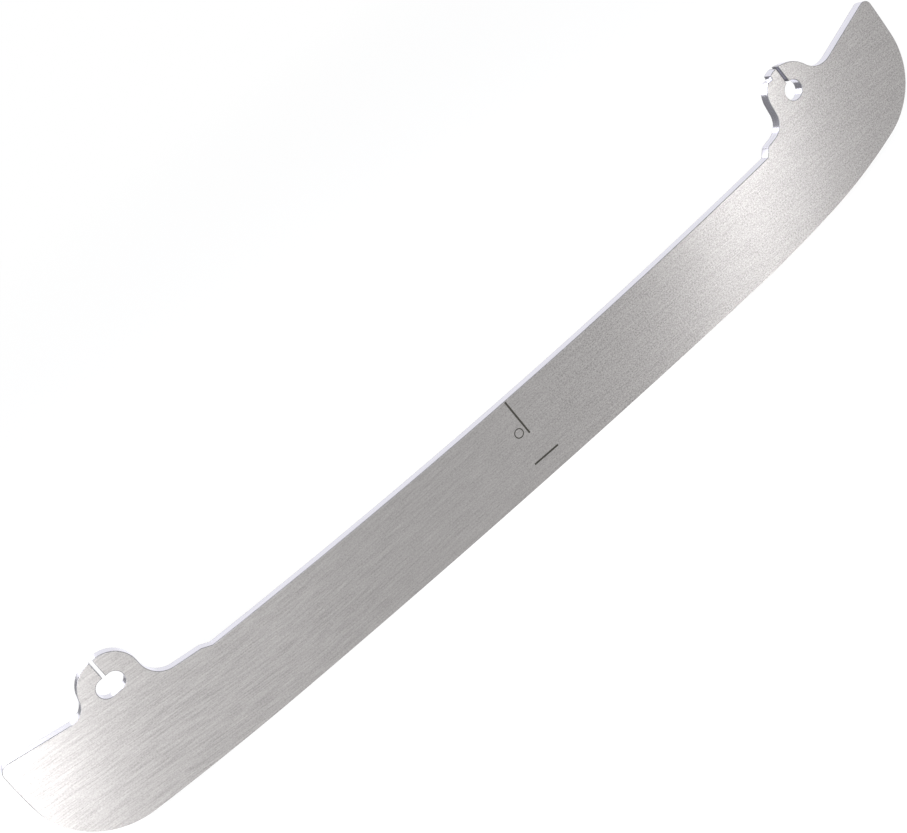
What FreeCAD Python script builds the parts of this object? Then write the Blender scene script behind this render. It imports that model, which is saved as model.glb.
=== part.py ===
# Ice hockey skate runner: one flat plate of stainless steel, hollow ground along its
# running edge, with a split mounting lobe near each end of its top edge.
# Drawing datum: x = 0 at the centre mark, z = 0 at the lowest point of the running edge,
# y = 0 in mid thickness. X points to the toe and Z up. The finished plate is moved so that
# the centre of the toe bore is the origin. Lengths in mm, angles in degrees.
import FreeCAD, Part
import math
import os

V = FreeCAD.Vector

plate_thickness = 3.0

# Running edge: a ten-foot rocker in the middle, then tangent arcs that lift to each end.
# Lengths are measured along the edge.
rocker_radius = 3048.0
rocker_to_toe = 68.7
toe_lift_radius = 375.0
toe_lift_length = 31.1
toe_rise_radius = 137.5
toe_rise_length = 27.0
toe_curve_radius = 19.7
toe_curve_length = 26.8
toe_front_radius = 231.0
rocker_to_heel = 79.7
heel_lift_radius = 757.0
heel_lift_length = 41.7
heel_curve_radius = 20.2
heel_curve_length = 29.4
heel_back_radius = 142.0

# The hollow ground along the running edge leaves two biting edges.
hollow_radius = 12.7

# Seating edge: a shallow arc between the two lobes, with a step up to a shelf at each end.
seat_radius = 1757.0
seat_low_x = -9.0
seat_low_z = 22.4
heel_step_foot_x = -88.5
heel_step_run = 2.4
heel_step_height = 1.15
heel_shelf_slope = 7.9
toe_step_foot_x = 91.75
toe_step_run = 1.7
toe_step_height = 2.1
toe_shelf_slope = 11.0

# Toe bore and heel slot.
bore_radius = 2.6
bore_x = 107.5
bore_z = 34.6
slot_x = -110.6
slot_z = 32.75
slot_length = 7.0
slot_width = 4.8

# Lobes: walls left round the bore and the slot, and the radii of their outlines.
lobe_top_wall = 4.7
lobe_inner_radius = 6.7
toe_lobe_inner_wall = 4.95
toe_lobe_outer_radius = 8.6
heel_lobe_side_wall = 4.1
heel_lobe_outer_radius = 7.3

# Saw cuts that open each lobe, and the catch in the toe lobe.
slit_width = 0.88
toe_slit_lean = 7.0
catch_wall_x = 3.6
catch_floor_z = 5.63
catch_corner_radius = 0.35

# Ramps from the lobes to the two tips, by their height under each hole.
toe_ramp_slope = 18.4
toe_ramp_drop = 3.75
heel_ramp_slope = 10.6
heel_ramp_drop = 3.45

# Rounded corners of the outline.
tip_radius = 2.0
valley_radius = 6.0
toe_neck_radius = 4.7
heel_neck_radius = 4.0
toe_shelf_radius = 1.5
heel_shelf_radius = 1.5
step_foot_radius = 0.4

# How far every cut runs past the steel that it leaves.
overrun = 1.0


def at(x, z):
    return V(x, 0, z)


def on_circle(centre, radius, angle):
    return at(centre.x + radius * math.cos(angle), centre.z + radius * math.sin(angle))


def edge_chain(steps, side):
    # Tangent arcs that all curve upwards, from the lowest point towards one end.
    # The last one has no length of its own: it runs on to where the ramp meets it.
    x = 0.0
    z = 0.0
    heading = 0.0
    chain = []
    for radius, length in steps:
        turn = length / radius
        cx = x - radius * math.sin(heading)
        cz = z + radius * math.cos(heading)
        ends = []
        for part in (0, 0.5, 1):
            angle = heading + part * turn
            ends.append(at(side * (cx + radius * math.sin(angle)), cz - radius * math.cos(angle)))
        chain.append({"centre": at(side * cx, cz), "radius": radius, "points": ends, "turn": turn})
        x = side * ends[2].x
        z = ends[2].z
        heading += turn
    return chain


def arc_to_line(start, centre, radius, line_point, slope, side):
    # Arc from a point on a circle up to where a sloping line crosses its outer side.
    direction = at(side * math.cos(math.radians(slope)), math.sin(math.radians(slope)))
    offset = line_point - centre
    along = offset.dot(direction)
    reach = along * along - offset.dot(offset) + radius * radius
    corner = line_point + direction * (-along + math.sqrt(reach))
    chord_middle = (start + corner) * 0.5 - centre
    middle = centre + chord_middle.normalize() * radius
    return Part.Arc(start, middle, corner).toShape(), corner


def seat_z(x):
    centre_z = seat_low_z + seat_radius
    return centre_z - math.sqrt(seat_radius ** 2 - (x - seat_low_x) ** 2)


def plate(wire):
    flat = Part.Face(wire)
    flat.translate(V(0, -plate_thickness / 2, 0))
    solid = flat.extrude(V(0, plate_thickness, 0))
    return solid


def lobe(flank_x, inner, top_z, outer_x, outer_radius):
    # Straight inner flank, inner arc, short flat top, then the outer arc round to the plate.
    inner_x = flank_x + inner * lobe_inner_radius
    inner_z = top_z - lobe_inner_radius
    outer_centre = at(outer_x, top_z - outer_radius)
    foot = at(flank_x, seat_low_z)
    flank_top = at(flank_x, inner_z)
    quarter = math.radians(135 if inner > 0 else 45)
    inner_mid = on_circle(at(inner_x, inner_z), lobe_inner_radius, quarter)
    outer_mid = at(outer_x + inner * outer_radius, outer_centre.z)
    edges = [Part.makeLine(foot, flank_top)]
    edges.append(Part.Arc(flank_top, inner_mid, at(inner_x, top_z)).toShape())
    if abs(outer_x - inner_x) > 0.001:
        edges.append(Part.makeLine(at(inner_x, top_z), at(outer_x, top_z)))
    outer_foot = at(outer_x, top_z - 2 * outer_radius)
    edges.append(Part.Arc(at(outer_x, top_z), outer_mid, outer_foot).toShape())
    edges.append(Part.makeLine(outer_foot, foot))
    return plate(Part.Wire(edges))


# Running edge, as one chain of arcs for each half.
toe_chain = edge_chain([
    (rocker_radius, rocker_to_toe),
    (toe_lift_radius, toe_lift_length),
    (toe_rise_radius, toe_rise_length),
    (toe_curve_radius, toe_curve_length),
    (toe_front_radius, 0.0),
], 1)
heel_chain = edge_chain([
    (rocker_radius, rocker_to_heel),
    (heel_lift_radius, heel_lift_length),
    (heel_curve_radius, heel_curve_length),
    (heel_back_radius, 0.0),
], -1)

# Corners of the upper outline.
toe_ramp_point = at(bore_x, bore_z - toe_ramp_drop)
heel_ramp_point = at(slot_x, slot_z - heel_ramp_drop)
front = toe_chain.pop()
back = heel_chain.pop()
front_edge, toe_tip = arc_to_line(front["points"][0], front["centre"], front["radius"],
                                  toe_ramp_point, toe_ramp_slope, 1)
back_edge, heel_tip = arc_to_line(back["points"][0], back["centre"], back["radius"],
                                  heel_ramp_point, heel_ramp_slope, -1)
toe_foot = at(toe_step_foot_x, seat_z(toe_step_foot_x))
toe_shelf_end = toe_foot + at(toe_step_run, toe_step_height)
heel_foot = at(heel_step_foot_x, seat_z(heel_step_foot_x))
heel_shelf_end = heel_foot + at(-heel_step_run, heel_step_height)


def toe_shelf_z(x):
    return toe_shelf_end.z + (x - toe_shelf_end.x) * math.tan(math.radians(toe_shelf_slope))


def heel_shelf_z(x):
    return heel_shelf_end.z + (heel_shelf_end.x - x) * math.tan(math.radians(heel_shelf_slope))


seat_mid_x = (toe_step_foot_x + heel_step_foot_x) / 2
seat_edge = Part.Arc(toe_foot, at(seat_mid_x, seat_z(seat_mid_x)), heel_foot).toShape()
upper = [
    toe_tip,
    toe_ramp_point,
    at(bore_x, toe_shelf_z(bore_x)),
    toe_shelf_end,
    toe_foot,
]
lower = [
    heel_foot,
    heel_shelf_end,
    at(slot_x, heel_shelf_z(slot_x)),
    heel_ramp_point,
    heel_tip,
]
outline = [front_edge]
outline += [Part.makeLine(a, b) for a, b in zip(upper, upper[1:])]
outline.append(seat_edge)
outline += [Part.makeLine(a, b) for a, b in zip(lower, lower[1:])]
outline.append(back_edge)
for step in heel_chain + toe_chain:
    outline.append(Part.Arc(*step["points"]).toShape())
body = plate(Part.Wire(Part.__sortEdges__(outline)))

# The two lobes stand on the plate, round the bore and the slot.
toe_flank_x = bore_x - bore_radius - toe_lobe_inner_wall
toe_lobe_top = bore_z + bore_radius + lobe_top_wall
toe_lobe = lobe(toe_flank_x, 1, toe_lobe_top, toe_flank_x + lobe_inner_radius,
                toe_lobe_outer_radius)
heel_flank_x = slot_x + slot_length / 2 + heel_lobe_side_wall
heel_lobe_top = slot_z + slot_width / 2 + lobe_top_wall
heel_outer_x = slot_x - slot_length / 2 - heel_lobe_side_wall + heel_lobe_outer_radius
heel_lobe = lobe(heel_flank_x, -1, heel_lobe_top, heel_outer_x, heel_lobe_outer_radius)
body = body.fuse([toe_lobe, heel_lobe]).removeSplitter()


def upright_edge(solid, x, z):
    # The straight edge across the plate that lies nearest to this place.
    best = None
    for edge in solid.Edges:
        if isinstance(edge.Curve, Part.Line) and abs(edge.Curve.Direction.y) > 0.999:
            gap = (edge.CenterOfMass - at(x, z)).Length
            if best is None or gap < best[0]:
                best = (gap, edge)
    return best[1]


toe_outer_x = toe_flank_x + lobe_inner_radius + toe_lobe_outer_radius
toe_outer_z = toe_ramp_point.z + (toe_outer_x - bore_x) * math.tan(math.radians(toe_ramp_slope))
heel_side_x = heel_outer_x - heel_lobe_outer_radius
heel_side_z = heel_ramp_point.z + (slot_x - heel_side_x) * math.tan(math.radians(heel_ramp_slope))
corners = [
    (toe_tip.x, toe_tip.z, tip_radius),
    (heel_tip.x, heel_tip.z, tip_radius),
    (toe_outer_x, toe_outer_z, valley_radius),
    (heel_flank_x, heel_shelf_z(heel_flank_x), valley_radius),
    (heel_side_x, heel_side_z, heel_neck_radius),
    (toe_flank_x, toe_shelf_z(toe_flank_x), toe_neck_radius),
    (toe_shelf_end.x, toe_shelf_end.z, toe_shelf_radius),
    (heel_shelf_end.x, heel_shelf_end.z, heel_shelf_radius),
    (toe_foot.x, toe_foot.z, step_foot_radius),
    (heel_foot.x, heel_foot.z, step_foot_radius),
]
for x, z, radius in corners:
    body = body.makeFillet(radius, [upright_edge(body, x, z)])

# Round bore, obround slot, and the saw cut that opens each of them upwards.
across = plate_thickness + 2 * overrun
bore = Part.makeCylinder(bore_radius, across, V(bore_x, -across / 2, bore_z), V(0, 1, 0))
slot_half = (slot_length - slot_width) / 2
slot_ends = []
for x in (slot_x - slot_half, slot_x + slot_half):
    slot_ends.append(Part.makeCylinder(slot_width / 2, across, V(x, -across / 2, slot_z), V(0, 1, 0)))
slot_middle = Part.makeBox(2 * slot_half, across, slot_width,
                           V(slot_x - slot_half, -across / 2, slot_z - slot_width / 2))
slot = slot_ends[0].fuse([slot_ends[1], slot_middle]).removeSplitter()
toe_slit = Part.makeBox(slit_width, across, toe_lobe_top - bore_z + overrun,
                        V(bore_x - slit_width / 2, -across / 2, bore_z))
toe_slit.rotate(at(bore_x, bore_z), V(0, 1, 0), -toe_slit_lean)
heel_slit = Part.makeBox(slit_width, across, heel_lobe_top - slot_z + overrun,
                         V(slot_x - slit_width / 2, -across / 2, slot_z))

# Catch: a square step in the inner shoulder of the toe lobe.
catch_x = bore_x - catch_wall_x
catch_z = bore_z + catch_floor_z
catch = Part.makeBox(lobe_inner_radius, across, lobe_inner_radius,
                     V(catch_x - lobe_inner_radius, -across / 2, catch_z))
catch = catch.makeFillet(catch_corner_radius, [upright_edge(catch, catch_x, catch_z)])
body = body.cut([bore, slot, toe_slit, heel_slit, catch])

# Hollow: a round groove that follows the running edge, turned about each arc's centre.
half = plate_thickness / 2
wide = half + overrun
crown = hollow_radius - math.sqrt(hollow_radius ** 2 - half ** 2)
rim = crown - hollow_radius + math.sqrt(hollow_radius ** 2 - wide ** 2)
groove_floor = rim - overrun
for side, chain in ((1, toe_chain), (-1, heel_chain)):
    heading = 0.0
    for step in chain:
        centre = step["centre"]
        low = centre.z - step["radius"]
        arc = Part.Arc(V(centre.x, -wide, low + rim), V(centre.x, 0, low + crown),
                       V(centre.x, wide, low + rim)).toShape()
        below = Part.makePolygon([V(centre.x, wide, low + rim), V(centre.x, wide, low + groove_floor),
                                  V(centre.x, -wide, low + groove_floor),
                                  V(centre.x, -wide, low + rim)])
        section = Part.Face(Part.Wire([arc] + below.Edges))
        section.rotate(centre, V(0, 1, 0), -side * math.degrees(heading))
        groove = section.revolve(centre, V(0, -side, 0), math.degrees(step["turn"]))
        body = body.cut(groove)
        heading += step["turn"]

body = body.removeSplitter()
body.translate(-at(bore_x, bore_z))
os.makedirs("parts", exist_ok=True)
body.exportStep("parts/runner.step")

box = body.optimalBoundingBox()
print("runner", len(body.Solids), "solid, valid", body.isValid(), "volume %.1f mm3" % body.Volume)
print("length %.2f thickness %.2f height %.2f mm" % (box.XLength, box.YLength, box.ZLength))
print("x %.2f to %.2f, z %.2f to %.2f" % (box.XMin, box.XMax, box.ZMin, box.ZMax))
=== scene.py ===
import math
import bpy
from mathutils import Matrix, Vector


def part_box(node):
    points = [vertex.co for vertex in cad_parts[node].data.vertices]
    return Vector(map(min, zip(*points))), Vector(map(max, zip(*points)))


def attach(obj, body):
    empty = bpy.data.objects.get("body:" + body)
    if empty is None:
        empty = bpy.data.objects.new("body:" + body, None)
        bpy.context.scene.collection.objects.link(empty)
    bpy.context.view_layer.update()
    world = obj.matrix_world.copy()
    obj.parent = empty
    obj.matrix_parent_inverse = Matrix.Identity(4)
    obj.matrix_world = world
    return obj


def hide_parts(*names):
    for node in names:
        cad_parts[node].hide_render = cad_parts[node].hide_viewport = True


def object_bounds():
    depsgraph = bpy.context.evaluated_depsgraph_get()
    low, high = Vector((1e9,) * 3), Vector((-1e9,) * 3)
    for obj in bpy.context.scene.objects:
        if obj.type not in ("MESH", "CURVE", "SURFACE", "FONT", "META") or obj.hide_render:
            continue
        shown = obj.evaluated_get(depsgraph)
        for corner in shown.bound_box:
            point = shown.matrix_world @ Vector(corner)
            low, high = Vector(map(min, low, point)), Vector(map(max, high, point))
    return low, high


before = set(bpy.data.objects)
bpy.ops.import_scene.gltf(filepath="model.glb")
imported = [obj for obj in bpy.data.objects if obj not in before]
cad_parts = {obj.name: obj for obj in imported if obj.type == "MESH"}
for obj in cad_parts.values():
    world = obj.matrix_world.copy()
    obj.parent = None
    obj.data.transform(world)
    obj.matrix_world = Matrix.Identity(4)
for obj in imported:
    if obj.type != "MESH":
        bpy.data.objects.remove(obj)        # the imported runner, in metres: X to the toe, Z up, origin at the toe bore
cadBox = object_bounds()
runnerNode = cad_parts["runner"]
print("frame loaded")

mm = 0.001


# small helpers for node trees

def addNode(tree, kind, inputs=None, **settings):
    node = tree.nodes.new(kind)
    for name, value in settings.items():
        setattr(node, name, value)
    for name, value in (inputs or {}).items():
        socket = node.inputs[name]
        if isinstance(value, bpy.types.NodeSocket):
            tree.links.new(value, socket)
        else:
            socket.default_value = value
    return node


def calc(tree, operation, a, b=0.0, c=0.0):
    # one Math node; a, b and c are numbers or sockets
    return addNode(tree, "ShaderNodeMath", {0: a, 1: b, 2: c}, operation=operation).outputs[0]


def vectorCalc(tree, operation, a, b=None, scale=None):
    inputs = {0: a}
    if b is not None:
        inputs[1] = b
    if scale is not None:
        inputs["Scale"] = scale
    node = addNode(tree, "ShaderNodeVectorMath", inputs, operation=operation)
    return node.outputs["Value" if operation in ("LENGTH", "DOT_PRODUCT") else "Vector"]


def ramp(tree, value, start, end, interpolation="LINEAR"):
    # from one (value, result) pair to another, and level beyond them
    node = addNode(tree, "ShaderNodeMapRange",
                   {"Value": value, "From Min": start[0], "From Max": end[0],
                    "To Min": start[1], "To Max": end[1]}, interpolation_type=interpolation)
    return node.outputs["Result"]


def splitVector(tree, vector):
    return addNode(tree, "ShaderNodeSeparateXYZ", {0: vector}).outputs


def joinVector(tree, x=0.0, y=0.0, z=0.0):
    return addNode(tree, "ShaderNodeCombineXYZ", {"X": x, "Y": y, "Z": z}).outputs[0]


def objectPlace(tree):
    return addNode(tree, "ShaderNodeTexCoord").outputs["Object"]


def newMaterial(name):
    material = bpy.data.materials.new(name)
    material.use_nodes = True
    material.node_tree.nodes.clear()
    return material, material.node_tree


# steel finishes

sideFinish = {
    "colour": (0.364, 0.352, 0.348),
    "contrast": 2.0,             # of the grain and strokes in the colour
    "roughness": 0.286,
    "anisotropy": 1.0,
    "strokeLength": 6 * mm,      # one brushing stroke along the runner
    "strokeWidth": 0.30 * mm,
    "strokeDetail": 4.0,
    "strokeSeed": 3.1,
    "strokeShare": ((-200 * mm, 0.38), (-120 * mm, 0.24)),     # (x, share there), and level beyond
    "strokeSlope": 0.12,         # the strokes fall this steeply towards the toe,
    "slopeEnd": -180 * mm,       # up to here, and then run level
    "slopeEase": 25 * mm,
    "grainSize": 0.28 * mm,
    "grainStretch": 1.5,         # a grain is this much longer than high
    "grainDetail": 2.0,
    "grainSeed": 12.9,
    "grainShare": ((-130 * mm, 0.38), (-80 * mm, 0.80)),
    "strokeFan": 2.0,            # the highlights turn by this many radians over a metre of height,
    "levelHeight": -16 * mm,     # and stand upright here
}

rimFinish = {
    "colour": (0.875, 0.865, 0.96),
    "roughness": 0.22,
    "lineLength": 12 * mm,       # faint lines along the cut wall
    "lineWidth": 0.25 * mm,
    "slitShadeBoxes": (                 # boxes round the two saw cuts, whose walls get painted shade: x from and to, z from and to
        (-1.6 * mm, 0.4 * mm, 2.2 * mm, 7.5 * mm),
        (-218.8 * mm, -217.4 * mm, 0.3 * mm, 5.5 * mm),
    ),
    "slitShadeShare": 0.55,           # a wall inside a saw cut is this share as bright: painted shade in the narrow slit
}

edgeShadeFinish = {                   # the broken edges, painted darker than the rest: painted shade along every rounded edge
    "colour": (0.20, 0.20, 0.21),
    "roughness": 0.45,
    "lineLength": 12 * mm,
    "lineWidth": 0.25 * mm,
}

hollowFinish = {
    "colour": (0.70, 0.70, 0.71),
    "roughness": 0.20,
    "lineLength": 30 * mm,       # grinding lines along the edge
    "lineWidth": 0.08 * mm,
}

faintLines = {                   # on every wall that isn't a flat side
    "detail": 3.0,
    "seed": 5.3,
    "shade": ((0.35, 0.95), (0.65, 1.03)),     # (noise, shade)
}

etchedMarks = {
    "colour": (0.018, 0.017, 0.014),
    "roughness": 0.7,
    "specular": 0.2,
    "lineWidth": 0.50 * mm,
    # places on the right side, as (x, z)
    "longFrom": (-108.05 * mm, -12.4 * mm),
    "longTo": (-107.35 * mm, -22.55 * mm),
    "shortFrom": (-110.9 * mm, -29.65 * mm),
    "shortTo": (-103.31 * mm, -29.73 * mm),
    "ringCentre": (-109.63 * mm, -20.84 * mm),
    "ringRadius": 1.15 * mm,
    "ringLine": 0.27 * mm,
}

noiseRoughness = 0.55            # how much the finer octaves of every noise count
seedShift = (1.0, 1.7, 2.3)      # a seed moves the noise this way


def stretchedNoise(tree, position, size, detail, seed):
    # noise whose grains measure size = (x, y, z) in metres
    scaled = vectorCalc(tree, "MULTIPLY", position, tuple(1 / s for s in size))
    shifted = vectorCalc(tree, "ADD", scaled, tuple(seed * s for s in seedShift))
    noise = addNode(tree, "ShaderNodeTexNoise", {"Vector": shifted, "Scale": 1.0, "Detail": detail,
                                                 "Roughness": noiseRoughness})
    return noise.outputs["Fac"]


def lineMask(tree, x, z, start, end, width):
    # 1 on a straight mark between two points of the side face, 0 elsewhere
    run = Vector(end) - Vector(start)
    along = run.normalized()
    fromX = calc(tree, "SUBTRACT", x, start[0])
    fromZ = calc(tree, "SUBTRACT", z, start[1])
    down = calc(tree, "MULTIPLY_ADD", fromX, along[0], calc(tree, "MULTIPLY", fromZ, along[1]))
    side = calc(tree, "MULTIPLY_ADD", fromX, -along[1], calc(tree, "MULTIPLY", fromZ, along[0]))
    inLength = calc(tree, "COMPARE", down, run.length / 2, run.length / 2)
    inWidth = calc(tree, "COMPARE", side, 0.0, width / 2)
    return calc(tree, "MULTIPLY", inLength, inWidth)


def ringMask(tree, x, z, centre, radius, width):
    # 1 on a ring drawn on the side face, 0 elsewhere
    fromX = calc(tree, "SUBTRACT", x, centre[0])
    fromZ = calc(tree, "SUBTRACT", z, centre[1])
    square = calc(tree, "MULTIPLY_ADD", fromX, fromX, calc(tree, "MULTIPLY", fromZ, fromZ))
    return calc(tree, "COMPARE", calc(tree, "SQRT", square), radius, width / 2)


def brushedTexture(tree, position, finish):
    # the shade of the brushing: strokes at the heel, finer grain to the toe
    x, y, z = splitVector(tree, position)
    fallen = calc(tree, "SUBTRACT", x, finish["slopeEnd"])
    fallen = calc(tree, "SMOOTH_MIN", fallen, 0.0, finish["slopeEase"])
    level = calc(tree, "MULTIPLY_ADD", fallen, finish["strokeSlope"], z)
    strokes = stretchedNoise(tree, joinVector(tree, x, y, level),
                             (finish["strokeLength"], 1.0, finish["strokeWidth"]),
                             finish["strokeDetail"], finish["strokeSeed"])
    grain = stretchedNoise(tree, position,
                           (finish["grainSize"] * finish["grainStretch"], 1.0, finish["grainSize"]),
                           finish["grainDetail"], finish["grainSeed"])

    def shareOf(noise, ends):
        fromMean = calc(tree, "SUBTRACT", noise, 0.5)
        return calc(tree, "MULTIPLY", fromMean, ramp(tree, x, *ends))

    both = calc(tree, "ADD", shareOf(strokes, finish["strokeShare"]), shareOf(grain, finish["grainShare"]))
    return calc(tree, "MULTIPLY_ADD", both, finish["contrast"], 1.0)


def etchedMask(tree, position):
    # the etched marks, on the right side only
    m = etchedMarks
    x, y, z = splitVector(tree, position)
    longMark = lineMask(tree, x, z, m["longFrom"], m["longTo"], m["lineWidth"])
    shortMark = lineMask(tree, x, z, m["shortFrom"], m["shortTo"], m["lineWidth"])
    ring = ringMask(tree, x, z, m["ringCentre"], m["ringRadius"], m["ringLine"])
    marks = calc(tree, "MAXIMUM", calc(tree, "MAXIMUM", longMark, shortMark), ring)
    return calc(tree, "MULTIPLY", marks, calc(tree, "LESS_THAN", y, 0.0))


def makeSideSteel():
    # brushed along the runner: highlights spread up and down, and stay narrow along it
    f = sideFinish
    material, tree = newMaterial("brushedSide")
    position = objectPlace(tree)
    shade = brushedTexture(tree, position, f)
    height = calc(tree, "SUBTRACT", splitVector(tree, position)["Z"], f["levelHeight"])
    lean = calc(tree, "MULTIPLY", height, -f["strokeFan"])
    steel = addNode(tree, "ShaderNodeBsdfPrincipled", {
        "Base Color": vectorCalc(tree, "SCALE", f["colour"], scale=shade), "Metallic": 1.0,
        "Roughness": f["roughness"], "Anisotropic": f["anisotropy"],
        "Tangent": joinVector(tree, lean, 0.0, 1.0)})
    etched = addNode(tree, "ShaderNodeBsdfPrincipled", {
        "Base Color": (*etchedMarks["colour"], 1.0), "Metallic": 0.0,
        "Roughness": etchedMarks["roughness"], "Specular IOR Level": etchedMarks["specular"]})
    surface = addNode(tree, "ShaderNodeMixShader",
                      {0: etchedMask(tree, position), 1: steel.outputs[0], 2: etched.outputs[0]})
    addNode(tree, "ShaderNodeOutputMaterial", {"Surface": surface.outputs[0]})
    return material


def makeLinedSteel(name, finish):
    # steel with faint lines that run along a cut wall or along the ground edge
    material, tree = newMaterial(name)
    position = objectPlace(tree)
    size = (finish["lineLength"], finish["lineWidth"], finish["lineLength"])
    lines = stretchedNoise(tree, position, size, faintLines["detail"], faintLines["seed"])
    shade = ramp(tree, lines, *faintLines["shade"])
    place = splitVector(tree, position)
    # painted shade: the walls inside the saw cuts are darkened, as shade falls in the narrow slits
    for xFrom, xTo, zFrom, zTo in finish.get("slitShadeBoxes", ()):
        inX = calc(tree, "COMPARE", place["X"], (xFrom + xTo) / 2, (xTo - xFrom) / 2)
        inZ = calc(tree, "COMPARE", place["Z"], (zFrom + zTo) / 2, (zTo - zFrom) / 2)
        inside = calc(tree, "MULTIPLY", inX, inZ)
        paintedSlitShade = calc(tree, "MULTIPLY_ADD", inside, finish["slitShadeShare"] - 1, 1.0)
        shade = calc(tree, "MULTIPLY", shade, paintedSlitShade)
    steel = addNode(tree, "ShaderNodeBsdfPrincipled", {
        "Base Color": vectorCalc(tree, "SCALE", finish["colour"], scale=shade), "Metallic": 1.0,
        "Roughness": finish["roughness"]})
    addNode(tree, "ShaderNodeOutputMaterial", {"Surface": steel.outputs[0]})
    return material


sideSteel = makeSideSteel()
rimSteel = makeLinedSteel("cutRim", rimFinish)
# painted shade: the rounded edges get a dark colour
edgeShadeSteel = makeLinedSteel("brokenEdgeShade", edgeShadeFinish)
hollowSteel = makeLinedSteel("groundHollow", hollowFinish)
print("steel finishes made")


# the runner's plate: the frame gives its outline, and the node tree below gives it thickness,
# broken edges and the ground hollow

plate = {
    "edgeBreak": 0.14 * mm,      # rounding of every edge but the running edge
    "hollowRadius": 12.7 * mm,
    "rows": 17,                  # points across the thickness
    "rowCrowding": 3.0,          # the power that crowds them towards the two sides
    "arcStep": 4.0,              # degrees between points on a curve
    "longStep": 2.0 * mm,        # and the longest step on it
    "cornerAngle": 38.0,         # a sharper turn stays a corner
    "leastTurn": 0.1,            # and a weaker one is no curve
    "stepLikeness": 0.015,       # steps on one arc differ in length by less than this share
    "fadeSlope": 0.35,           # the hollow fades where the edge turns up to the tips
    "flatFacing": 0.999,         # a face that looks this squarely sideways is a flat side
    "weld": 0.001 * mm,          # points closer than this are one
    "digits": 7,                 # of a metre, by which corners of the node are told apart
    "groundShare": 0.5,          # the ground finish starts where the hollow has this share of its depth
}


def sideLoop(node):
    # the edge of the node's right side face, as (x, z) points in order from the heel tip
    mesh = node.data
    side = min(v.co.y for v in mesh.vertices)
    directed = set()
    for face in mesh.polygons:
        corners = [mesh.vertices[i].co for i in face.vertices]
        if max(c.y for c in corners) - side < plate["weld"]:
            keys = [(round(c.x, plate["digits"]), round(c.z, plate["digits"])) for c in corners]
            directed.update(zip(keys, keys[1:] + keys[:1]))
    following = dict(edge for edge in directed if edge[::-1] not in directed)
    loop = [min(following)]
    while following[loop[-1]] != loop[0]:
        loop.append(following[loop[-1]])
    return [Vector(point) for point in loop]


def arcCentre(a, b, c):
    # the middle of the circle through three points
    p, q = b - a, c - a
    twice = 2 * (p.x * q.y - p.y * q.x)
    return a + Vector((q.y * p.length_squared - p.y * q.length_squared,
                       p.x * q.length_squared - q.x * p.length_squared)) / twice


def smoothLoop(loop):
    # steps of equal length in a row lie on one arc, which is drawn again in finer steps
    count = len(loop)
    steps = [loop[(i + 1) % count] - loop[i] for i in range(count)]

    def onOneArc(i, j):
        first, second = steps[i % count], steps[j % count]
        alike = abs(first.length - second.length) < plate["stepLikeness"] * first.length
        turn = abs(math.degrees(first.angle_signed(second)))
        return alike and plate["leastTurn"] < turn < plate["cornerAngle"]

    smooth = []
    for i in range(count):
        start, end = loop[i], loop[(i + 1) % count]
        if onOneArc(i, i + 1):
            centre = arcCentre(start, end, loop[(i + 2) % count])
        elif onOneArc(i - 1, i):
            centre = arcCentre(loop[i - 1], start, end)
        else:
            smooth.append(start)
            continue
        turn = (end - centre).angle_signed(start - centre)
        byTurn = abs(math.degrees(turn)) / plate["arcStep"]
        byLength = steps[i].length / plate["longStep"]
        pieces = math.ceil(max(byTurn, byLength))
        for k in range(pieces):
            smooth.append(centre + Matrix.Rotation(turn * k / pieces, 2) @ (start - centre))
    return smooth


def outlineMesh(points):
    # the outline drawn flat, with what the tree needs at each point: the way out of the steel,
    # and how fully the edge there is ground hollow
    count = len(points)
    toeTip = max(range(count), key=lambda i: points[i].x)     # the running edge ends here
    outward, ground = [], []
    for i, point in enumerate(points):
        before = (point - points[i - 1]).normalized()
        after = (points[(i + 1) % count] - point).normalized()
        facing = [Vector((d.y, -d.x)) for d in (before, after)]
        mitre = (facing[0] + facing[1]) / (1 + facing[0].dot(facing[1]))
        outward.extend((mitre.x, mitre.y, 0.0))
        share = min(max(-mitre.normalized().y / plate["fadeSlope"], 0.0), 1.0)
        eased = share * share * (3 - 2 * share)
        ground.append(eased if i <= toeTip else 0.0)
    mesh = bpy.data.meshes.new("outline")
    corners = [(p.x, p.y, 0.0) for p in points]
    mesh.from_pydata(corners, [(i, (i + 1) % count) for i in range(count)], [])
    for name, kind, values in (("outward", "FLOAT_VECTOR", outward), ("ground", "FLOAT", ground)):
        attribute = mesh.attributes.new(name, kind, "POINT")
        attribute.data.foreach_set("vector" if kind == "FLOAT_VECTOR" else "value", values)
    return mesh


plateInputs = (
    ("Thickness", "Float"), ("Edge Break", "Float"), ("Hollow Radius", "Float"), ("Rows", "Int"),
    ("Corner Angle", "Float"), ("Side Finish", "Material"), ("Rim Finish", "Material"),
    ("Edge Shade Finish", "Material"), ("Hollow Finish", "Material"),
)


def step(tree, kind, inputs, **settings):
    # the first output of a geometry node
    return addNode(tree, kind, inputs, **settings).outputs[0]


def named(tree, name, kind):
    node = addNode(tree, "GeometryNodeInputNamedAttribute", {"Name": name}, data_type=kind)
    return node.outputs["Attribute"]


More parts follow.
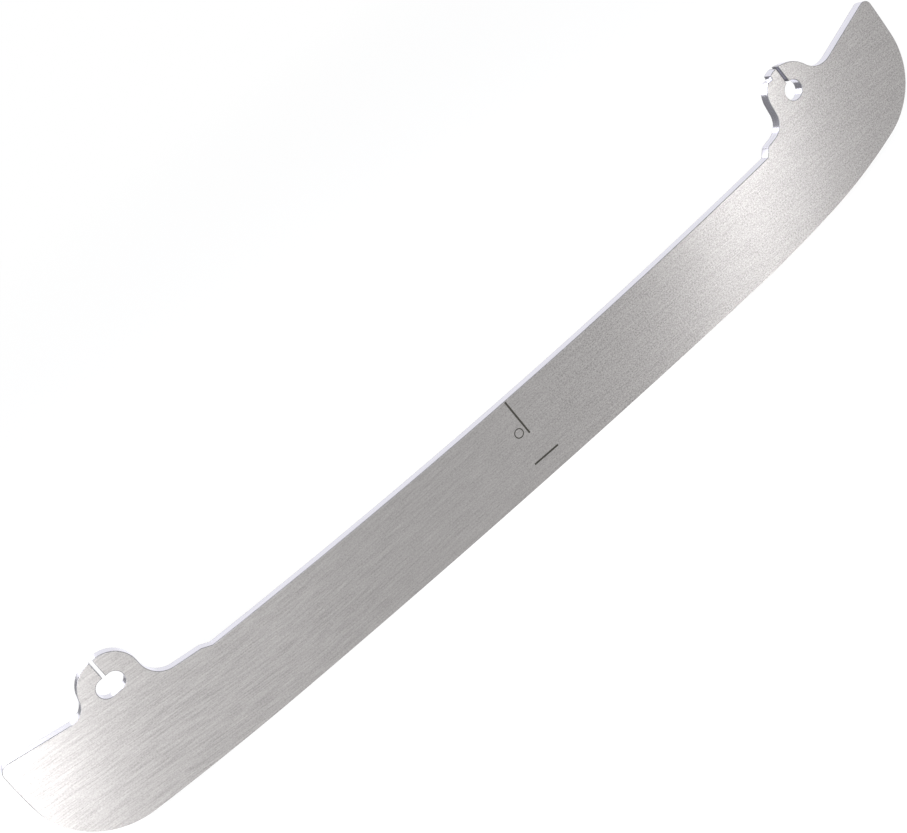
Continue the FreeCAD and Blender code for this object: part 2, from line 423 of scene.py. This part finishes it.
def wallInset(tree, given, half, level, ground):
    # how far the wall lies inside the outline: a rounded edge, or the hollow on the running edge
    def leg(longSide, side):
        # the third side of a right triangle
        square = calc(tree, "MULTIPLY", longSide, longSide)
        return calc(tree, "SQRT", calc(tree, "SUBTRACT", square, calc(tree, "MULTIPLY", side, side)))

    edge = given["Edge Break"]
    past = calc(tree, "SUBTRACT", calc(tree, "ABSOLUTE", level), calc(tree, "SUBTRACT", half, edge))
    past = calc(tree, "MAXIMUM", past, 0.0)
    rounded = calc(tree, "SUBTRACT", edge, leg(edge, past))
    hollow = calc(tree, "SUBTRACT", leg(given["Hollow Radius"], level), leg(given["Hollow Radius"], half))
    return calc(tree, "MULTIPLY_ADD", calc(tree, "SUBTRACT", hollow, rounded), ground, rounded)


def wallStrip(tree, given, half):
    # the wall round the plate: a strip of one column for each outline point, and a last column
    # that closes it
    outline = given["Geometry"]
    rows = given["Rows"]
    count = addNode(tree, "GeometryNodeAttributeDomainSize", {"Geometry": outline}).outputs["Point Count"]
    strip = step(tree, "GeometryNodeMeshGrid", {"Vertices X": calc(tree, "ADD", count, 1.0),
                                                "Vertices Y": rows})
    index = addNode(tree, "GeometryNodeInputIndex").outputs[0]
    column = calc(tree, "FLOOR", calc(tree, "DIVIDE", index, rows))
    row = calc(tree, "SUBTRACT", index, calc(tree, "MULTIPLY", column, rows))
    point = calc(tree, "MODULO", column, count)

    def fromOutline(value, kind):
        sample = addNode(tree, "GeometryNodeSampleIndex", data_type=kind, domain="POINT")
        tree.links.new(outline, sample.inputs["Geometry"])
        tree.links.new(value, sample.inputs["Value"])
        tree.links.new(point, sample.inputs["Index"])
        return sample.outputs["Value"]

    place = fromOutline(addNode(tree, "GeometryNodeInputPosition").outputs[0], "FLOAT_VECTOR")
    outward = fromOutline(named(tree, "outward", "FLOAT_VECTOR"), "FLOAT_VECTOR")
    ground = fromOutline(named(tree, "ground", "FLOAT"), "FLOAT")

    # rows crowd towards the two sides, where the edges are rounded
    share = calc(tree, "DIVIDE", row, calc(tree, "SUBTRACT", rows, 1.0))
    share = calc(tree, "MULTIPLY_ADD", share, 2.0, -1.0)
    inner = calc(tree, "SUBTRACT", 1.0, calc(tree, "ABSOLUTE", share))
    level = calc(tree, "SUBTRACT", 1.0, calc(tree, "POWER", inner, plate["rowCrowding"]))
    level = calc(tree, "MULTIPLY", calc(tree, "MULTIPLY", level, calc(tree, "SIGN", share)), half)

    inset = wallInset(tree, given, half, level, ground)
    wallPlace = vectorCalc(tree, "SUBTRACT", place, vectorCalc(tree, "SCALE", outward, scale=inset))
    wallPlace = vectorCalc(tree, "ADD", wallPlace, joinVector(tree, z=level))
    wall = step(tree, "GeometryNodeSetPosition", {"Geometry": strip, "Position": wallPlace})
    return step(tree, "GeometryNodeStoreNamedAttribute",
                {"Geometry": wall, "Name": "ground", "Value": ground}, data_type="FLOAT", domain="POINT")


def flatSides(tree, given, half):
    # the two flat sides, drawn in to where the broken edge starts
    unground = calc(tree, "SUBTRACT", 1.0, named(tree, "ground", "FLOAT"))
    drawIn = calc(tree, "MULTIPLY", calc(tree, "MULTIPLY", unground, given["Edge Break"]), -1.0)
    drawnIn = vectorCalc(tree, "SCALE", named(tree, "outward", "FLOAT_VECTOR"), scale=drawIn)
    flat = step(tree, "GeometryNodeSetPosition", {"Geometry": given["Geometry"], "Offset": drawnIn})
    flat = step(tree, "GeometryNodeMeshToCurve", {"Mesh": flat})
    flat = step(tree, "GeometryNodeFillCurve", {"Curve": flat}, mode="TRIANGLES")
    up = joinVector(tree, z=half)
    down = vectorCalc(tree, "SCALE", up, scale=-1.0)
    right = step(tree, "GeometryNodeTransform", {"Geometry": flat, "Translation": up})
    left = step(tree, "GeometryNodeTransform", {"Geometry": flat, "Translation": down})
    return right, step(tree, "GeometryNodeFlipFaces", {"Mesh": left})


def shadePlate(tree, given, closed, isSide):
    # smooth walls, flat sides and sharp corners
    angle = addNode(tree, "GeometryNodeInputMeshEdgeAngle").outputs["Unsigned Angle"]
    isCorner = calc(tree, "GREATER_THAN", angle, given["Corner Angle"])
    kind = "GeometryNodeSetShadeSmooth"
    shaded = step(tree, kind, {"Geometry": closed, "Shade Smooth": True})
    shaded = step(tree, kind, {"Geometry": shaded, "Selection": isSide, "Shade Smooth": False})
    return step(tree, kind, {"Geometry": shaded, "Selection": isCorner, "Shade Smooth": False},
                domain="EDGE")


def plateTree():
    tree = bpy.data.node_groups.new("plateFromOutline", "GeometryNodeTree")
    tree.interface.new_socket("Geometry", in_out="INPUT", socket_type="NodeSocketGeometry")
    for name, kind in plateInputs:
        tree.interface.new_socket(name, in_out="INPUT", socket_type="NodeSocket" + kind)
    tree.interface.new_socket("Geometry", in_out="OUTPUT", socket_type="NodeSocketGeometry")
    given = addNode(tree, "NodeGroupInput").outputs
    half = calc(tree, "DIVIDE", given["Thickness"], 2.0)
    joined = addNode(tree, "GeometryNodeJoinGeometry")
    for part in (wallStrip(tree, given, half), *flatSides(tree, given, half)):
        tree.links.new(part, joined.inputs[0])
    closed = step(tree, "GeometryNodeMergeByDistance",
                  {"Geometry": joined.outputs[0], "Distance": plate["weld"]})

    # stood up, because the outline was drawn flat
    upright = (math.pi / 2, 0, 0)
    closed = step(tree, "GeometryNodeTransform", {"Geometry": closed, "Rotation": upright})
    facing = splitVector(tree, addNode(tree, "GeometryNodeInputNormal").outputs[0])["Y"]
    isSide = calc(tree, "GREATER_THAN", calc(tree, "ABSOLUTE", facing), plate["flatFacing"])
    whole = step(tree, "GeometryNodeRealizeInstances",
                 {"Geometry": shadePlate(tree, given, closed, isSide)})

    # each finish covers what the ones before it left on its faces
    across = splitVector(tree, addNode(tree, "GeometryNodeInputPosition").outputs[0])["Y"]
    flatEnd = calc(tree, "SUBTRACT", half, given["Edge Break"])
    isEdge = calc(tree, "GREATER_THAN", calc(tree, "ABSOLUTE", across), flatEnd)
    isGround = calc(tree, "GREATER_THAN", named(tree, "ground", "FLOAT"), plate["groundShare"])
    # the rounded edges take the dark edge finish, which is painted shade
    for selection, finish in ((True, "Rim Finish"), (isEdge, "Edge Shade Finish"),
                              (isGround, "Hollow Finish"), (isSide, "Side Finish")):
        whole = step(tree, "GeometryNodeSetMaterial", {"Geometry": whole, "Selection": selection,
                                                       "Material": given[finish]})
    addNode(tree, "NodeGroupOutput", {"Geometry": whole})
    return tree


def makePlate():
    low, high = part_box("runner")
    points = smoothLoop(sideLoop(runnerNode))
    for point in points:                         # a finer arc never leaves the solid's box
        point.x = min(max(point.x, low.x), high.x)
        point.y = min(max(point.y, low.z), high.z)
    outline = bpy.data.objects.new("outline", outlineMesh(points))
    bpy.context.scene.collection.objects.link(outline)
    modifier = outline.modifiers.new("plate", "NODES")
    modifier.node_group = plateTree()
    sockets = {item.name: item.identifier for item in modifier.node_group.interface.items_tree
               if item.in_out == "INPUT"}
    given = {
        "Thickness": high.y - low.y, "Edge Break": plate["edgeBreak"],
        "Hollow Radius": plate["hollowRadius"], "Rows": plate["rows"],
        "Corner Angle": math.radians(plate["cornerAngle"]), "Side Finish": sideSteel,
        "Rim Finish": rimSteel, "Edge Shade Finish": edgeShadeSteel, "Hollow Finish": hollowSteel,
    }
    for name, value in given.items():
        modifier[sockets[name]] = value
    evaluated = outline.evaluated_get(bpy.context.evaluated_depsgraph_get())
    mesh = bpy.data.meshes.new_from_object(evaluated)
    bpy.data.objects.remove(outline)
    mesh.name = "runnerPlate"
    for name in ("outward", "ground"):
        if name in mesh.attributes:
            mesh.attributes.remove(mesh.attributes[name])
    runner = bpy.data.objects.new("runnerPlate", mesh)
    bpy.context.scene.collection.objects.link(runner)
    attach(runner, "root")
    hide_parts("runner")
    print("runner plate:", len(points), "outline points,", len(mesh.polygons), "faces")


makePlate()


# camera: at the right side of the runner, a little above it, tilted so that the runner lies aslant

camera = {
    # where it stands, and the right, down and forward directions of its picture
    "place": (-0.19984, -0.32813, 0.11484),
    "right": (0.738014, -0.385859, -0.553578),
    "down": (-0.636958, -0.127542, -0.760274),
    "forward": (0.222754, 0.913699, -0.339904),
    "lens": 60.65,
    "sensor": 36.0,
    "clip": (0.01, 100.0),
}


def addCamera():
    data = bpy.data.cameras.new("camera")
    data.lens = camera["lens"]
    data.sensor_width = camera["sensor"]
    data.clip_start, data.clip_end = camera["clip"]
    item = bpy.data.objects.new("camera", data)
    bpy.context.scene.collection.objects.link(item)
    right, down, forward = (Vector(camera[k]).normalized() for k in ("right", "down", "forward"))
    turn = Matrix((right, -down, -forward)).transposed().to_4x4()
    item.matrix_world = Matrix.Translation(camera["place"]) @ turn
    bpy.context.scene.camera = item


addCamera()
print("camera set")


# stage: floor, world, soft lamps and dark cards

stage = {
    "floorColour": (0.93, 0.93, 0.93),
    "floorSize": 30.0,
    # the share of the floor that glows white, while the rest takes the shadow, rises from
    # nearGlow to farGlow between two distances from the toe bore, because the lamps fade
    "nearGlow": 0.8,
    "farGlow": 1.0,
    "nearReach": 0.3,
    "farReach": 1.2,
    "worldColour": (0.80, 0.81, 0.84),
    "worldStrength": 0.8,
    "reflectedWorld": 0.88,      # what the steel sees above the horizon
}

white = (1.0, 1.0, 1.0, 1.0)

lamps = {
    # name: direction from the middle of the runner, distance, (width, length), radiance
    "toeStrip": ((0.487, -0.820, 0.30), 1.2, (0.10, 0.5), 23.4),
    "heelSoft": ((-0.449, -0.822, 0.35), 1.2, (0.66, 0.6), 23.0),
    "heelFill": ((-0.070, -0.934, 0.35), 1.2, (0.24, 0.6), 2.2),
    "backSoft": ((-0.297, 0.864, 0.407), 1.6, (0.70, 0.68), 2.0),
}

cards = {
    # name: middle (x, y), way its dark side looks in degrees from +Y to +X, width, length of its
    # soft ends, lower and upper edge, shade
    "toeCard": ((-20 * mm, 49 * mm), 90.0, 94 * mm, 15 * mm, -34.5 * mm, 9 * mm, 0.21),
    "heelCard": ((-262 * mm, 129 * mm), 156.0, 60 * mm, 9 * mm, -34.5 * mm, 16 * mm, 0.22),
}


def mixShaders(tree, share, first, second):
    node = addNode(tree, "ShaderNodeMixShader", {0: share, 1: first.outputs[0], 2: second.outputs[0]})
    return node.outputs[0]


def seenWhite(tree):
    # 1 for the rays that show the background
    path = addNode(tree, "ShaderNodeLightPath").outputs
    seen = calc(tree, "MAXIMUM", path["Is Camera Ray"], path["Is Glossy Ray"])
    return calc(tree, "MAXIMUM", seen, path["Is Transmission Ray"])


def stageSheet(name, corners, surface, tree, material):
    # a flat sheet of the stage with its material
    mesh = bpy.data.meshes.new(name)
    mesh.from_pydata(corners, [], [(0, 1, 2, 3)])
    addNode(tree, "ShaderNodeOutputMaterial", {"Surface": surface})
    mesh.materials.append(material)
    sheet = bpy.data.objects.new(name, mesh)
    bpy.context.scene.collection.objects.link(sheet)
    return sheet


def addFloor():
    low = cadBox[0][2]
    half = stage["floorSize"] / 2
    material, tree = newMaterial("paleFloor")
    colour = addNode(tree, "ShaderNodeBsdfDiffuse", {"Color": (*stage["floorColour"], 1.0)})
    glow = ramp(tree, vectorCalc(tree, "LENGTH", objectPlace(tree)),
                (stage["nearReach"], stage["nearGlow"]), (stage["farReach"], stage["farGlow"]))
    glowing = addNode(tree, "ShaderNodeEmission", {"Color": white, "Strength": 1.0})
    surface = mixShaders(tree, calc(tree, "MULTIPLY", seenWhite(tree), glow), colour, glowing)
    corners = [(-half, -half, low), (half, -half, low), (half, half, low), (-half, half, low)]
    floor = stageSheet("floor", corners, surface, tree, material)


def addWorld():
    world = bpy.data.worlds.new("paleWorld")
    bpy.context.scene.world = world
    world.use_nodes = True
    tree = world.node_tree
    tree.nodes.clear()
    light = addNode(tree, "ShaderNodeBackground", {"Color": (*stage["worldColour"], 1.0),
                                                   "Strength": stage["worldStrength"]})
    glossy = addNode(tree, "ShaderNodeLightPath").outputs["Is Glossy Ray"]
    strength = calc(tree, "MULTIPLY_ADD", glossy, stage["reflectedWorld"] - 1.0, 1.0)
    seen = addNode(tree, "ShaderNodeBackground", {"Color": white, "Strength": strength})
    addNode(tree, "ShaderNodeOutputWorld", {"Surface": mixShaders(tree, seenWhite(tree), light, seen)})


def addLamps():
    middle = Vector((cadBox[0][i] + cadBox[1][i]) / 2 for i in range(3))
    for name, (towards, distance, size, radiance) in lamps.items():
        data = bpy.data.lights.new(name, "AREA")
        data.shape = "RECTANGLE"
        data.size, data.size_y = size
        data.energy = radiance * math.pi * size[0] * size[1]     # watts for this radiance
        item = bpy.data.objects.new(name, data)
        bpy.context.scene.collection.objects.link(item)
        back = Vector(towards).normalized()                    # the lamp shines along -back
        wide = Vector((0, 0, 1)).cross(back).normalized()
        turn = Matrix((wide, back.cross(wide), back)).transposed().to_4x4()
        item.matrix_world = Matrix.Translation(middle + back * distance) @ turn


def addCards():
    # cards with soft ends behind the lobes: only the steel sees them, and only their dark side
    for name, (middle, look, width, fade, low, high, shade) in cards.items():
        along = Vector((-math.cos(math.radians(look)), math.sin(math.radians(look))))
        left, right = (Vector(middle) + along * side * width / 2 for side in (-1, 1))
        material, tree = newMaterial(name)
        fromMiddle = vectorCalc(tree, "SUBTRACT", objectPlace(tree), (*middle, 0.0))
        aside = calc(tree, "ABSOLUTE", vectorCalc(tree, "DOT_PRODUCT", fromMiddle, (*along, 0.0)))
        solid = ramp(tree, aside, (width / 2, 0.0), (width / 2 - fade, 1.0), "SMOOTHSTEP")
        behind = addNode(tree, "ShaderNodeNewGeometry").outputs["Backfacing"]
        solid = calc(tree, "MULTIPLY", solid, calc(tree, "SUBTRACT", 1.0, behind))
        clear = addNode(tree, "ShaderNodeBsdfTransparent")
        dark = addNode(tree, "ShaderNodeEmission", {"Color": (shade, shade, shade, 1.0), "Strength": 1.0})
        corners = [(*left, low), (*right, low), (*right, high), (*left, high)]
        card = stageSheet(name, corners, mixShaders(tree, solid, clear, dark), tree, material)
        card.visible_camera = False
        card.visible_diffuse = False
        card.visible_shadow = False


addFloor()
addWorld()
addLamps()
addCards()
bpy.context.scene.view_settings.view_transform = "Standard"
print("stage set")
